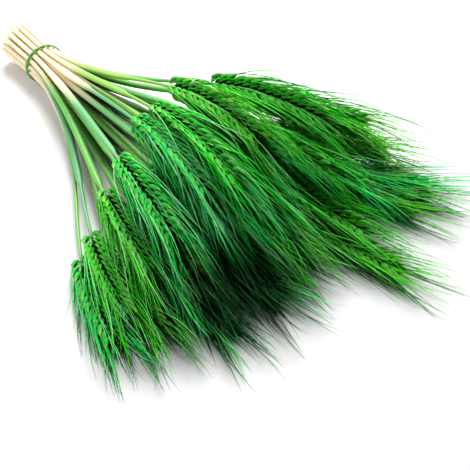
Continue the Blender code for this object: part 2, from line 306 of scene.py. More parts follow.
HUSKS = (
    Husk(42, (0.0020, 0.0018, 0.0), (50, 12), 1.0, 1.0, 1.0, MAIN_AWN, False),
    Husk(-42, (0.0020, 0.0018, 0.0), (50, 12), 1.0, 1.0, 1.0, MAIN_AWN, False),
    Husk(12, (0.0018, 0.0003, 0.0026), (42, 15), 0.88, 0.84, 0.92, MAIN_AWN, False),
    Husk(-14, (0.0016, -0.0003, 0.0040), (36, 12), 0.74, 0.66, 0.7, SIDE_AWN, False),
    Husk(68, (0.0010, 0.0018, -0.0006), (38, 11), 1.0, 0.52, 0.75, SIDE_AWN, True),
    Husk(-68, (0.0010, 0.0018, -0.0006), (38, 11), 1.0, 0.52, 0.75, SIDE_AWN, True),
)


def linear(code):
    """The linear RGB of an sRGB hex code."""
    parts = np.array([int(code[k:k+2], 16) for k in (1, 3, 5)])/255
    return tuple(np.where(parts <= 0.04045, parts/12.92, ((parts+0.055)/1.055)**2.4))


def colour_property(name, description, code):
    """A colour setting whose default is an sRGB hex code."""
    return FloatVectorProperty(name=name, description=description, subtype="COLOR", size=3,
                               min=0, max=1, default=linear(code))


# Settings that a user would change

class TriticaleStrawSettings(bpy.types.PropertyGroup):
    sheath: FloatProperty(name="Sheath", description="How far a leaf sheath stands proud of its straw",
                          default=0.0008, min=0, max=0.0015, unit="LENGTH", precision=5)
    hole: FloatProperty(name="Hole", description="Radius of the hollow in a cut straw",
                        default=0.0010, min=0.0002, max=0.0015, unit="LENGTH", precision=5)
    bare: colour_property("Bare straw", "Straw near the tie, where no dye reached", "#F8EED2")
    bare_shade: colour_property("Bare straw streaks", "Darker streaks of the bare straw", "#E6D4A4")
    dyed: colour_property("Dyed straw", "Straw above the tie", "#44AC42")
    dyed_light: colour_property("Dyed straw, yellow", "Stalks that took up less dye", "#92C252")
    dyed_teal: colour_property("Dyed straw, teal", "Stalks that took up a bluer dye", "#389C7A")


class TriticaleEarSettings(bpy.types.PropertyGroup):
    spikelets: IntProperty(name="Spikelets", description="Spikelets on one ear, left and right in turn",
                           default=28, min=8, max=40)
    floret_long: FloatProperty(name="Floret length", description="Length of an outer floret without its awn",
                               default=0.0140, min=0.005, max=0.02, unit="LENGTH", precision=5)
    floret_wide: FloatProperty(name="Floret width", description="Width of a floret at its belly",
                               default=0.0056, min=0.001, max=0.006, unit="LENGTH", precision=5)
    glume_long: FloatProperty(name="Glume length", description="Length of the outer chaff of a spikelet",
                              default=0.0094, min=0.003, max=0.015, unit="LENGTH", precision=5)
    awn_long: FloatProperty(name="Awn length", description="Length of an outer awn at the foot of the ear",
                            default=0.056, min=0.01, max=0.12, unit="LENGTH", precision=5)
    awn_radius: FloatProperty(name="Awn radius", description="Radius of an awn where it leaves its floret",
                              default=0.00042, min=0.0001, max=0.001, unit="LENGTH", precision=5)
    husk: colour_property("Husk", "Dyed husks", "#069C22")
    # Painted shade at the root of each husk
    husk_root_shade: colour_property("Husk root", "Painted shade at the root of the husks", "#043A12")
    husk_light: colour_property("Husk above its belly", "Husks where they taper to their tip", "#40C83A")
    husk_tip: colour_property("Husk tip", "Husks at their dry tip", "#D4F884")
    awn: colour_property("Awn", "Dyed awns", "#00CC1C")
    # Pale awns, partly painted highlights on single awns
    pale_awn_and_highlight: colour_property("Pale awn", "Awns that took up less dye, which also stand for highlights", "#86F894")
    # Painted shade on husks and awns where others crowd them
    inside: colour_property("Inside the bunch", "Painted shade on husks and awns deep in the bunch", "#00260A")


class TriticaleBandSettings(bpy.types.PropertyGroup):
    wide: FloatProperty(name="Band width", description="Width of the elastic band along the bunch",
                        default=0.0022, min=0.001, max=0.01, unit="LENGTH", precision=5)
    rubber: colour_property("Elastic", "Green elastic band", "#5FBF4A")


class TriticaleStageSettings(bpy.types.PropertyGroup):
    floor_side: FloatProperty(name="Floor", description="Side of the square floor",
                              default=6, min=1, max=20, unit="LENGTH")
    floor: colour_property("Floor colour", "White studio floor", "#E4E4E4")


# Layout

def ring_places():
    """(n, 2) sideways and upward places of the stems in the tie, from its middle."""
    places = []
    for circle, count in enumerate(CIRCLES):
        for k in range(count):
            turn = 2*math.pi*(k+CIRCLE_TURN*circle)/count
            places.append((circle*PITCH*math.cos(turn), circle*PITCH*math.sin(turn)))
    return np.array(places)


def spread(ring, draw):
    """Where each ear would go by its stem's place in the tie, before the ears share out the room.

    side runs from -1 on the left of the bunch to 1 on the right, and level from 0 below to 1 on top.
    """
    n = len(ring)
    side, up = (ring/(PITCH*(len(CIRCLES)-1))).T
    level = np.clip((up/np.sqrt(1-np.clip(np.abs(side), 0, SIDE_MOST)**2)+1)/2, 0, 1)
    out = np.clip(np.abs(side), 0, 1)
    left = np.clip(-side, 0, None)
    right = np.clip(side, 0, None)
    hump = np.where(side > 0, HUMP_AT_RIGHT+(1-HUMP_AT_RIGHT)*(1-out**3)**(1/3),
                    HUMP_AT_LEFT+(1-HUMP_AT_LEFT)*(1-out**2)**HUMP_LEFT_ROUND)
    reach = (REACH-REACH_LESS_ON_TOP*level*(1-TOP_LESS_AT_LEFT*left)+REACH_MORE_AT_LEFT*left
             + (REACH_MORE_AT_RIGHT-RIGHT_LESS_ON_TOP*level)*right
             + draw.uniform(-REACH_VARIES, REACH_VARIES, n))
    for own_side, own_level, further in OWN_REACH:
        reach += further*np.exp(-((side-own_side)**2+(level-own_level)**2)/OWN_REACH_ROUND**2)
    ear = EAR_LONG*draw.uniform(*EAR_VARIES, n)
    fan = np.where(side > 0, FAN_RIGHT*side*out**FAN_RIGHT_POWER,
                   FAN_LEFT*side*out**FAN_LEFT_POWER*(1-FAN_LESS_ABOVE*level))
    fan = np.radians(fan+draw.uniform(-FAN_VARIES, FAN_VARIES, n))
    mid = reach+ear/2
    return dict(ring=ring, side=side, level=level, reach=reach*np.cos(fan), ear=ear*np.cos(fan),
                mid_x=mid*np.cos(fan), mid_y=mid*np.sin(fan),
                top_z=EAR_LIE+EAR_CLEAR+level*MOUND_HIGH*hump, nod=NOD*level*hump)


def first_lines(bunch):
    """(n, stations, 2) of y and z: a stalk leaves the tie along +X, flares out, rises and nods over."""
    t = STATIONS[None]/bunch["mid_x"][:, None]
    u = np.clip(t, 0, 1)
    left = np.clip(-bunch["side"], 0, None)
    right = np.clip(bunch["side"], 0, None)
    left_top = bunch["level"]*left*(1-LEFT_TOP_FADES*left**2)
    lean_in = (LEAN_IN-LEAN_IN_LEFT*left+LEAN_IN_LEFT_TOP*left_top-LEAN_IN_RIGHT*right)[:, None]
    lean_out = (LEAN_OUT-LEAN_OUT_LEFT*left-LEAN_OUT_LEFT_TOP*left_top+LEAN_OUT_RIGHT*right)[:, None]
    flare = (lean_in*(u**3-2*u**2+u)+(3*u**2-2*u**3)+lean_out*(u**3-u**2)
             + lean_out*np.clip(t-1, 0, None))
    flare = flare**(1+LATE_FLARE*left[:, None])
    y0 = bunch["ring"][:, :1]
    z0 = TIE_Z+bunch["ring"][:, 1:]
    y = y0+(bunch["mid_y"][:, None]-y0)*flare
    top_x = (bunch["reach"]+NOD_FROM*bunch["ear"])[:, None]
    w = np.clip(STATIONS[None]/top_x, 0, 1)
    w = w**(1+LATE_RISE*right[:, None])
    rise = RISE_IN*(w**3-2*w**2+w)+3*w**2-2*w**3
    past = np.clip((STATIONS[None]-top_x)/bunch["ear"][:, None], 0, None)
    fall = np.where(past < NOD_BENDS, past**2, 2*NOD_BENDS*past-NOD_BENDS**2)
    z = z0+(bunch["top_z"][:, None]-z0)*rise-bunch["nod"][:, None]*fall
    return np.stack([y, z], -1)


def half_sizes(bunch):
    """(n, stations): half the room that each stalk takes at each station."""
    x = STATIONS[None]
    start = bunch["reach"][:, None]
    end = start+bunch["ear"][:, None]
    stem = PITCH/2-STEM_GAP-STEM_TAPERS*np.clip(x/start, 0, 1)
    opens = np.clip((x-start+EAR_ROOM_BEFORE)/EAR_ROOM_OPENS, 0, 1)
    swell = opens*np.clip((end+EAR_ROOM_PAST-x)/EAR_ROOM_CLOSES, 0, 1)
    tail = np.where(x > end, AWN_ROOM, 0)
    return np.maximum(np.maximum(stem*(x <= end), tail), EAR_ROOM*swell)


def settle(bunch):
    """Push the stalks apart until each has its own room, above the surface and in a smooth sweep."""
    start = first_lines(bunch)
    room = half_sizes(bunch)
    need = (room[:, None]+room[None]).transpose(2, 0, 1)
    apart_from_itself = OUT_OF_REACH*np.eye(len(room))[None]
    lie = np.clip(room, STEM_LIE, EAR_LIE)
    shift = np.zeros_like(start)
    for _ in range(SETTLE_STEPS):
        place = (start+shift).transpose(1, 0, 2)
        gap = place[:, :, None]-place[:, None]
        apart = np.sqrt((gap**2).sum(-1))+1e-9+apart_from_itself
        close = np.clip(need-apart, 0, None)
        push = (gap/apart[..., None]*close[..., None]).sum(2)*PUSH
        shift += push.transpose(1, 0, 2)
        shift[:, 1:-1] += SMOOTH*(shift[:, :-2]-2*shift[:, 1:-1]+shift[:, 2:])
        shift[:, -1] = 2*shift[:, -2]-shift[:, -3]
        shift[..., 1] = np.maximum(shift[..., 1], lie-start[..., 1])
        shift[:, 0] = 0
    return start+shift


def lay_out():
    """The whole bunch: where each stalk runs, how its ear is rolled and where its butt is cut."""
    draw = np.random.default_rng(SEED)
    bunch = spread(ring_places(), draw)
    bunch["lines"] = settle(bunch)
    n = len(bunch["ring"])
    roll_most = ROLL_BELOW+ROLL_MORE_ON_TOP*np.minimum(bunch["level"], ROLL_MOST_LEVEL)
    bunch["roll"] = np.radians(draw.uniform(-1, 1, n)*roll_most)
    bunch["butt"] = BUTT_BACK*draw.uniform(*BUTT_VARIES, n)
    return bunch


def point_at(bunch, i, x):
    """Centre line of stalk i at the distance x along the bunch: a cubic through its stations."""
    x = np.asarray(x, float)
    line = bunch["lines"][i]
    slope = np.gradient(line, STATION_STEP, axis=0)
    slope[0] *= SLOPE_AT_TIE
    k = np.clip((x/STATION_STEP).astype(int), 0, len(STATIONS)-2)
    t = (np.clip(x, 0, None)/STATION_STEP-k)[..., None]
    yz = ((2*t**3-3*t**2+1)*line[k]+(t**3-2*t**2+t)*STATION_STEP*slope[k]
          + (3*t**2-2*t**3)*line[k+1]+(t**3-t**2)*STATION_STEP*slope[k+1])
    back = np.clip(-x, 0, None)[..., None]/BUTT_BACK
    yz = yz+bunch["ring"][i]*BUTT_SPLAY*back
    return np.concatenate([x[..., None], yz], -1)


# Surfaces from arrays

def unit(v):
    """Vectors of length 1 along v."""
    return v/np.linalg.norm(v, axis=-1, keepdims=True)


def sweep(paths, facing, wide, outer, inner, sides):
    """(k, n, sides, 3) rings of k closed tubes along (k, n, 3) paths.

    At each point the section is two half ellipses on one width: wide across the path, outer on the side
    that facing looks to and inner on the other.
    """
    along = unit(np.gradient(paths, axis=1))
    over = unit(facing-(facing*along).sum(-1, keepdims=True)*along)
    across = np.cross(over, along)
    turn = 2*np.pi*np.arange(sides)/sides
    up = np.sin(turn)
    deep = np.where(up > 0, outer[..., None]*up, inner[..., None]*up)
    flat = wide[..., None]*np.cos(turn)
    rings = paths[:, :, None]+flat[..., None]*across[:, :, None]+deep[..., None]*over[:, :, None]
    skin = np.stack([flat, deep, np.zeros_like(flat)], -1)
    return rings, skin


def closed_tubes(rings, skin, first):
    """Points, skin places, quads and triangles of tubes that are closed by one pole at each end."""
    k, n, m = rings.shape[:3]
    poles = np.stack([rings[:, 0].mean(1), rings[:, -1].mean(1)], 1)
    pole_skin = np.stack([skin[:, 0].mean(1), skin[:, -1].mean(1)], 1)
    points = np.concatenate([rings.reshape(k, n*m, 3), poles], 1)
    skins = np.concatenate([skin.reshape(k, n*m, 3), pole_skin], 1)
    offset = first+np.arange(k)[:, None, None]*(n*m+2)
    i = np.arange(m)
    j = np.arange(n-1)[:, None]
    nxt = (i+1) % m
    quads = np.stack([j*m+i, j*m+nxt, (j+1)*m+nxt, (j+1)*m+i], -1).reshape(1, -1, 4)+offset
    low = np.stack([np.full(m, n*m), nxt, i], -1)
    high = np.stack([np.full(m, n*m+1), (n-1)*m+i, (n-1)*m+nxt], -1)
    tris = np.concatenate([low, high])[None]+offset
    return points.reshape(-1, 3), skins.reshape(-1, 3), quads.reshape(-1, 4), tris.reshape(-1, 3)


class Surface:
    """One mesh gathered from many sets of tubes, each with its material and its random numbers."""

    def __init__(self):
        self.points, self.skins, self.chances = [], [], []
        self.quads, self.tris, self.quad_kinds, self.tri_kinds = [], [], [], []
        self.count = 0

    def add(self, rings, skin, kind, chance):
        """Add closed tubes of one material, with a random number for each."""
        points, skins, quads, tris = closed_tubes(rings, skin, self.count)
        self.points.append(points)
        self.skins.append(skins)
        self.chances.append(np.repeat(chance, len(points)//len(chance)))
        self.quads.append(quads)
        self.tris.append(tris)
        self.quad_kinds.append(np.full(len(quads), kind))
        self.tri_kinds.append(np.full(len(tris), kind))
        self.count += len(points)

    def make(self, name, materials, own):
        """The mesh object, with its skin places and random numbers as attributes."""
        points = lie_on_surface(np.concatenate(self.points))
        quads = np.concatenate(self.quads)
        tris = np.concatenate(self.tris)
        mesh = bpy.data.meshes.new(name)
        mesh.vertices.add(len(points))
        mesh.vertices.foreach_set("co", points.astype(np.float32).ravel())
        mesh.loops.add(quads.size+tris.size)
        mesh.loops.foreach_set("vertex_index", np.concatenate([quads.ravel(), tris.ravel()]).astype(np.int32))
        starts = np.concatenate([np.arange(len(quads))*4, quads.size+np.arange(len(tris))*3])
        mesh.polygons.add(len(starts))
        mesh.polygons.foreach_set("loop_start", starts.astype(np.int32))
        kinds = np.concatenate(self.quad_kinds+self.tri_kinds)
        for material in materials:
            mesh.materials.append(material)
        mesh.polygons.foreach_set("material_index", kinds.astype(np.int32))
        mesh.polygons.foreach_set("use_smooth", np.ones(len(starts), bool))
        mesh.update(calc_edges=True)
        skin = mesh.attributes.new("skin", "FLOAT_VECTOR", "POINT")
        skin.data.foreach_set("vector", np.concatenate(self.skins).astype(np.float32).ravel())
        chance = mesh.attributes.new("chance", "FLOAT", "POINT")
        chance.data.foreach_set("value", np.concatenate(self.chances).astype(np.float32))
        stalk = mesh.attributes.new("stalk", "FLOAT", "POINT")
        stalk.data.foreach_set("value", np.full(len(points), own, np.float32))
        made = bpy.data.objects.new(name, mesh)
        bpy.context.scene.collection.objects.link(made)
        return made


def lie_on_surface(points):
    """Press what would go under the surface flat on it: low down, height falls off exponentially."""
    z = points[:, 2]
    pressed = PRESS_FROM*np.exp(np.minimum(z-PRESS_FROM, 0)/PRESS_FROM)
    points[:, 2] = np.where(z < PRESS_FROM, pressed, z)
    return points


# The parts of a stalk

def straw_rings(bunch, i, settings, draw):
    """A straw as a tube on its centre line, with a hollow cut end and the step where a leaf sheath ends.

    Radius falls linearly from the tie to the ear. A leaf sheath adds to it, more in width than in depth: it
    grows past the tie and goes on up to its own end, where it steps back.
    """
    start = bunch["reach"][i]
    end = start+bunch["ear"][i]*AXIS_SHARE
    butt = -bunch["butt"][i]
    # The cut end: the bottom of the hollow, its mouth, the rim and the outside, then the stem and the axis
    x = np.concatenate([[butt+HOLE_DEEP, butt+BUTT_EDGE, butt, butt+BUTT_EDGE],
                        np.linspace(butt+BUTT_LONG, start, STRAW_RINGS-BUTT_RINGS-AXIS_RINGS),
                        np.linspace(start, end, AXIS_RINGS+1)[1:]])
    radius = STEM_R+(STEM_TIP_R-STEM_R)*np.clip(x/start, 0, 1)
    step_at = draw.uniform(*SHEATH_ENDS)*start
    sheath = settings.sheath*np.clip((x-SHEATH_FROM)/SHEATH_GROWS, 0, 1)
    sheath = sheath*np.clip((step_at-x)/SHEATH_STEP, 0, 1)
    radius = np.where(x > start, AXIS_R, radius)
    radius[:2] = settings.hole
    radius[2] = STEM_R-BUTT_ROUND
    path = point_at(bunch, i, x)[None]
    # The rings of the cut end go back and forth, so the first three take the direction of the fourth
    along = unit(np.gradient(point_at(bunch, i, np.sort(x)), axis=0))[None]
    along[:, :3] = along[:, 3:4]
    over = unit(np.array([0, 0, 1.0])-along[..., 2:]*along)
    across = np.cross(over, along)
    turn = 2*np.pi*np.arange(STRAW_SIDES)/STRAW_SIDES
    flat = (radius+SHEATH_WIDER*sheath)[None, :, None]*np.cos(turn)
    deep = (radius+SHEATH_DEEPER*sheath)[None, :, None]*np.sin(turn)
    rings = path[:, :, None]+flat[..., None]*across[:, :, None]+deep[..., None]*over[:, :, None]
    skin = np.stack([flat, deep, np.broadcast_to(x[None, :, None], flat.shape)], -1)
    return rings, skin


def bend(base, first, last, long, n):
    """(k, n, 3) paths that start at base along first and turn evenly to last: the integral of their blend."""
    t = np.linspace(0, 1, n)[None, :, None]
    return base[:, None]+long[:, None, None]*(first[:, None]*(t-t**2/2)+last[:, None]*t**2/2)


def husk_rings(base, first, last, facing, long, wide, tip, rings, sides):
    """A plump husk: its width rises as a quarter ellipse to the belly and falls as a cosine to its tip."""
    t = np.linspace(0, 1, rings)**HUSK_SPACING
    rise = np.sqrt(np.clip(1-(1-t/HUSK_BELLY)**2, 0, 1))
    fall = (0.5+0.5*np.cos(np.pi*np.clip((t-HUSK_BELLY)/(1-HUSK_BELLY), 0, 1)))**HUSK_FALL
    swell = np.where(t < HUSK_BELLY, rise, fall)[None]
    half = wide[:, None]*0.5*swell*HUSK_FULL+tip+HUSK_ROOT_R*(1-t)[None]
    paths = bend(base, first, last, long, rings)
    made, skin = sweep(paths, facing[:, None], half, half*HUSK_OUTER, half*HUSK_INNER, sides)
    skin[..., 2] = np.linspace(0, 1, rings)[None, :, None]
    return made, skin, paths


def ear_frame(bunch, i, x):
    """Point, direction, row side and broad side of ear i at each x, with the ear's own roll."""
    here = point_at(bunch, i, x)
    along = unit(point_at(bunch, i, x+TANGENT_STEP)-here)
    flat = unit(np.cross(along, np.array([0, 0, 1.0])))
    over = np.cross(flat, along)
    roll = bunch["roll"][i]
    rows = flat*math.cos(roll)+over*math.sin(roll)
    return here, along, rows, np.cross(along, rows)


def leaning(along, out, lean):
    """Directions that lean from along towards out by so many radians."""
    return along*np.cos(lean)[:, None]+out*np.sin(lean)[:, None]


def add_husks(surface, bunch, i, settings, draw):
    """All husks and awns of ear i, one husk of every spikelet at a time."""
    count = settings.spikelets
    t = (np.arange(count)+FIRST_SPIKELET)/count
    x = bunch["reach"][i]+AXIS_SHARE*bunch["ear"][i]*t
    here, along, rows, broad = ear_frame(bunch, i, x)
    rows = rows*np.where(np.arange(count) % 2, 1, -1)[:, None]
    size = FOOT_SIZE+SIZE_RISE*t-SIZE_FALL*t**2
    ahead = ear_frame(bunch, i, np.minimum(x+AWN_AHEAD, AWN_AHEAD_END))[1]
    droop = AWN_DROOP*bunch["level"][i]
    for husk in HUSKS:
        root_out, root_side, root_up = husk.root
        lean_at_root, lean_at_tip = husk.leans
        turn = np.radians(husk.azimuth+draw.normal(0, AZIMUTH_VARIES, count))
        out = rows*np.cos(turn)[:, None]+broad*np.sin(turn)[:, None]
        base = here+rows*root_out+broad*(np.sign(husk.azimuth)*root_side)+along*root_up
        first = leaning(along, out, np.radians(lean_at_root+draw.normal(0, HUSK_LEAN_VARIES, count)))
        last = leaning(along, out, np.radians(lean_at_tip+draw.normal(0, HUSK_LEAN_VARIES, count)))
        full_long = settings.glume_long if husk.glume else settings.floret_long
        long = full_long*husk.long*size*draw.uniform(*HUSK_LONG_VARIES, count)
        wide = settings.floret_wide*husk.wide*size**0.5*draw.uniform(*HUSK_WIDE_VARIES, count)
        rings, sides = (GLUME_RINGS, GLUME_SIDES) if husk.glume else (FLORET_RINGS, FLORET_SIDES)
        tip = settings.awn_radius*husk.awn.tip
        made, skin, paths = husk_rings(base, first, last, out, long, wide, tip, rings, sides)
        surface.add(made, skin, HUSK_KIND, draw.random(count))
        add_awns(surface, husk, paths[:, -1], last, out, ahead, t, droop, settings, draw)


def add_awns(surface, husk, tips, first, out, ahead, t, droop, settings, draw):
    """One awn on each husk: it leaves along the husk's tip and turns towards the run of the ear ahead.

    Its radius falls linearly to a half at three quarters of the way, and then to a fine tip.
    """
    count = len(t)
    broad = np.cross(ahead, out)
    lean = np.radians(draw.normal(husk.awn.lean, AWN_LEAN_VARIES, count))
    swing = np.radians(draw.normal(0, husk.awn.swing, count))
    last = unit(ahead+out*np.tan(lean)[:, None]+broad*np.tan(swing)[:, None])
    full_long = settings.awn_long*husk.awn_long
    long = full_long*(1-AWN_LESS_AT_TIP*t)*draw.uniform(*AWN_LONG_VARIES, count)
    path = bend(tips-first*AWN_SUNK, first, last, long, AWN_RINGS)
    s = np.linspace(0, 1, AWN_RINGS)[None]
    bow = draw.normal(0, AWN_BOW, (count, 2))
    wave = np.sin(np.pi*s)[..., None]
    path = path+wave*(out*bow[:, :1]+broad*bow[:, 1:])[:, None]
    path[..., 2] -= droop*s**2
    thick = settings.awn_radius*husk.awn.thick
    radius = thick*np.interp(s, AWN_TAPER_AT, AWN_TAPER)*np.ones((count, 1))
    made, skin = sweep(path, out[:, None], radius, radius, radius, AWN_SIDES)
    skin[..., 2] = s[..., None]
    surface.add(made, skin, AWN_KIND, draw.random(count))


# Materials

def add_node(tree, kind, inputs=(), stops=(), **settings):
    """One shader node, with its settings, its ramp stops, and its inputs as values or sockets."""
    made = tree.nodes.new(kind)
    for name, value in settings.items():
        setattr(made, name, value)
    for k, (place, colour) in enumerate(stops):
        ends = made.color_ramp.elements
        stop = ends[k] if k < 2 else ends.new(place)
        stop.position = place
        stop.color = (*colour, 1)
    for name, value in dict(inputs).items():
        if isinstance(value, bpy.types.NodeSocket):
            tree.links.new(value, made.inputs[name])
        elif made.inputs[name].type == "RGBA":
            made.inputs[name].default_value = (*value, 1)
        else:
            made.inputs[name].default_value = value
    return made


def attribute(tree, name, output="Fac"):
    """An attribute of the mesh: its skin places, its tubes' chances or its stalk's own number."""
    return add_node(tree, "ShaderNodeAttribute", attribute_name=name).outputs[output]


def object_place(tree):
    """Object coordinates, in metres from the origin."""
    return add_node(tree, "ShaderNodeTexCoord").outputs["Object"]


def axis(tree, vector, letter):
    """One coordinate of a vector."""
    return add_node(tree, "ShaderNodeSeparateXYZ", {"Vector": vector}).outputs[letter]


def maths(tree, operation, *values):
    """The result of a sum on numbers."""
    return add_node(tree, "ShaderNodeMath", dict(enumerate(values)), operation=operation).outputs["Value"]


def vector_maths(tree, operation, *values, output="Vector"):
    """The result of a sum on vectors."""
    made = add_node(tree, "ShaderNodeVectorMath", dict(enumerate(values)), operation=operation)
    return made.outputs[output]


def ranged(tree, value, limits, ends=(0.0, 1.0), curve="SMOOTHSTEP"):
    """A value carried from between its limits to between two ends, and held there past them."""
    made = add_node(tree, "ShaderNodeMapRange", {"Value": value, "From Min": limits[0], "From Max": limits[1],
                                                 "To Min": ends[0], "To Max": ends[1]},
                    interpolation_type=curve)
    return made.outputs["Result"]


def blended(tree, share, first, second, how="MIX"):
    """The first colour where share is 0 and the second where it is 1."""
    return add_node(tree, "ShaderNodeMix", {"Factor": share, "A": first, "B": second}, data_type="RGBA",
                    blend_type=how).outputs["Result"]


def ridged(tree, height, strength, distance):
    """The normal of a skin whose height varies by distance."""
    return add_node(tree, "ShaderNodeBump", {"Height": height, "Strength": strength,
                                             "Distance": distance}).outputs["Normal"]


def new_material(name, roughness, ior, shine=0.5, thin=0.0):
    """A material with its shader: roughness, IOR, shine, and how much light passes through a thin skin."""
    material = bpy.data.materials.new(name)
    material.use_nodes = True
    shader = material.node_tree.nodes["Principled BSDF"]
    shader.inputs["Roughness"].default_value = roughness
    shader.inputs["IOR"].default_value = ior
    shader.inputs["Specular IOR Level"].default_value = shine
    shader.inputs["Subsurface Weight"].default_value = thin
    shader.inputs["Subsurface Radius"].default_value = (1, 1, 1)
    shader.inputs["Subsurface Scale"].default_value = 0.0015
    return material, material.node_tree, shader


def streaks(tree, across, along):
    """Noise that runs in long streaks up a straw or husk: fine across its skin and slow along it."""
    drawn = vector_maths(tree, "MULTIPLY", attribute(tree, "skin", "Vector"), (across, across, along))
    shifted = vector_maths(tree, "ADD", drawn, STREAK_OFFSET)
    apart = maths(tree, "MULTIPLY", attribute(tree, "chance"), STREAK_APART)
    return add_node(tree, "ShaderNodeTexNoise", {"Vector": shifted, "W": apart, "Scale": 1.0, "Detail": 3.0},
                    noise_dimensions="4D").outputs["Fac"]


def unoccluded_share(tree, reach, limits):
    """1 where a piece is open to the air, falling to 0 where others crowd within reach of it: the painted
    shade's mask.
    """
    open_air = add_node(tree, "ShaderNodeAmbientOcclusion", {"Distance": reach}, samples=4)
    return ranged(tree, open_air.outputs["AO"], limits)


def dried_straw(settings):
    """Dried straw, dip-dyed: bare and cream near the tie, then green, with long fibres in a satin skin."""
    material, tree, shader = new_material("dip_dyed_straw", 0.42, 1.5)
    stalk = attribute(tree, "stalk")
    # Fibres about 0.4 mm apart
    fibre = streaks(tree, 2600.0, 22.0)
    line = maths(tree, "MULTIPLY_ADD", stalk, DYE_LINE_VARIES, axis(tree, object_place(tree), "X"))
    dye = ranged(tree, maths(tree, "MULTIPLY_ADD", fibre, DYE_LINE_RAGGED, line), DYE_LINE)
    bare = blended(tree, fibre, settings.bare, settings.bare_shade)
    own = maths(tree, "FRACT", maths(tree, "MULTIPLY", stalk, STALK_SHUFFLE))
    tone = add_node(tree, "ShaderNodeValToRGB", {"Fac": own},
                    stops=((0.0, settings.dyed_teal), (0.35, settings.dyed), (0.7, settings.dyed),
                           (1.0, settings.dyed_light)))
    dyed = blended(tree, maths(tree, "MULTIPLY", fibre, LIGHT_FIBRES), tone.outputs["Color"],
                   settings.dyed_light)
    both = blended(tree, dye, bare, dyed)
    # Painted shade between the straws, where they crowd each other: warm on the bare ones and deep green on
    # the dyed
    painted_shade_tint = blended(tree, dye, PAINTED_SHADE_ON_BARE, PAINTED_SHADE_ON_DYED)
    deep = blended(tree, 1.0, both, painted_shade_tint, "MULTIPLY")
    toned = blended(tree, unoccluded_share(tree, STRAW_REACH, STRAW_OPEN), deep, both)
    tree.links.new(toned, shader.inputs["Base Color"])
    tree.links.new(ridged(tree, fibre, 0.35, 0.0004), shader.inputs["Normal"])
    return material


def with_painted_shade(tree, tone, settings, reach):
    """The tone where a piece is open to the air, and painted shade where others crowd within reach of it.

    A painted shadow is deepest in the hollow under the front of the mound: a soft ellipsoid, by the length of
    the place from its middle over its half sizes.
    """
    # Painted shadow: a soft ellipsoid under the front of the mound
    from_middle = vector_maths(tree, "SUBTRACT", object_place(tree), PAINTED_SHADOW_MIDDLE)
    shares = vector_maths(tree, "DIVIDE", from_middle, PAINTED_SHADOW_HALF)
    far = vector_maths(tree, "LENGTH", shares, output="Value")
    out_of_painted_shadow = ranged(tree, far, PAINTED_SHADOW_EDGE, (PAINTED_SHADOW_TONE, 1.0))
    both = maths(tree, "MULTIPLY", unoccluded_share(tree, reach, EAR_OPEN), out_of_painted_shadow)
    # Each stalk took the dye a little differently: from blue-green to yellow-green
    hue = ranged(tree, attribute(tree, "stalk"), (0.0, 1.0), STALK_HUES, "LINEAR")
    own = add_node(tree, "ShaderNodeHueSaturation", {"Hue": hue, "Color": tone})
    # Painted shade where the mask is 0, the stalk's own tone where it is 1
    return blended(tree, both, settings.inside, own.outputs["Color"])


def dyed_husk(settings):
    """Dyed chaff: deep green painted shade at its root, dry and yellow-green at its tip, with veins and a
    dull skin.
    """
    material, tree, shader = new_material("dyed_chaff", 0.50, 1.45, shine=0.15, thin=0.3)
    # Veins about 0.4 mm apart
    vein = streaks(tree, 2300.0, 1.6)
    along = axis(tree, attribute(tree, "skin", "Vector"), "Z")
    grown = maths(tree, "MULTIPLY_ADD", attribute(tree, "chance"), HUSK_DRY_VARIES, along)
    toned = maths(tree, "MULTIPLY_ADD", vein, HUSK_DRY_VEINS, grown)
    # Along the husk: painted shade at its root, then the dyed green, to its dry tip
    tone = add_node(tree, "ShaderNodeValToRGB", {"Fac": maths(tree, "MULTIPLY", toned, HUSK_DRY)},
                    stops=((0.12, settings.husk_root_shade), (0.36, settings.husk), (0.74, settings.husk_light),
                           (1.0, settings.husk_tip)))
    # Painted shade where the ears crowd and in the hollow under the mound
    colour = with_painted_shade(tree, tone.outputs["Color"], settings, HUSK_REACH)
    tree.links.new(colour, shader.inputs["Base Color"])
    tree.links.new(ridged(tree, vein, 0.5, 0.0005), shader.inputs["Normal"])
    return material


def dyed_awn(settings):
    """Dyed awns: stiff bristles with a dull skin, most of them green and some pale, partly as painted
    highlights.
    """
    material, tree, shader = new_material("dyed_awn", 0.42, 1.5, shine=0.08, thin=0.4)
    along = axis(tree, attribute(tree, "skin", "Vector"), "Z")
    # Pale by chance and more at the tip: partly painted highlights on single awns
    grown = maths(tree, "MULTIPLY_ADD", along, PALE_AT_TIP, attribute(tree, "chance"))
    part = ranged(tree, grown, PALE_CHANCE, curve="LINEAR")
    side = ranged(tree, axis(tree, object_place(tree), "Y"), PALE_ACROSS, PALE_SHARE, "LINEAR")
    tone = blended(tree, maths(tree, "MULTIPLY", part, side), settings.awn, settings.pale_awn_and_highlight)
    # Painted shade where the ears crowd and in the hollow under the mound
    tree.links.new(with_painted_shade(tree, tone, settings, AWN_REACH), shader.inputs["Base Color"])
    return material


def green_elastic(settings):
    """Green elastic band: matt rubber with ribs about 1 mm apart that run round it."""
    material, tree, shader = new_material("green_elastic_rubber", 0.55, 1.52)
    rib = add_node(tree, "ShaderNodeTexWave", {"Vector": attribute(tree, "skin", "Vector"), "Scale": 320.0,
                                               "Distortion": 1.5}, bands_direction="X").outputs["Fac"]
    groove = [GROOVE_SHADE*channel for channel in settings.rubber]
    tree.links.new(blended(tree, rib, groove, settings.rubber), shader.inputs["Base Color"])
    tree.links.new(ridged(tree, rib, 0.4, 0.0002), shader.inputs["Normal"])
    return material


